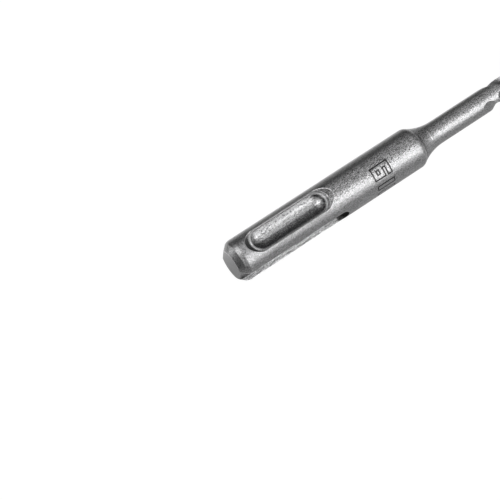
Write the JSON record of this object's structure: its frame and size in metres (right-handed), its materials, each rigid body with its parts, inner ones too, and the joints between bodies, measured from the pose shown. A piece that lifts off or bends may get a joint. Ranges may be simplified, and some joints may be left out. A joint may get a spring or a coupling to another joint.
{
  "type": "sds plus drill bit",
  "caption": "Masonry drill bit with a grooved quick-change shank, a slimmer neck, helical flutes with rounded run-outs and a brazed roof-shaped carbide tip.",
  "frame": {"origin": "centre of the shank's flat end face", "axes": "+X along the bit's axis towards the point, +Z through the middle of one ball seat, keyways facing -Y and +Y"},
  "size_m": [0.11, 0.01, 0.01],
  "materials": {
    "steel": "shot-blasted satin",
    "carbide": "ground matt"
  },
  "bodies": {
    "root": {"drill_body": "steel", "carbide_tip": "carbide"}
  },
  "joints": []
}
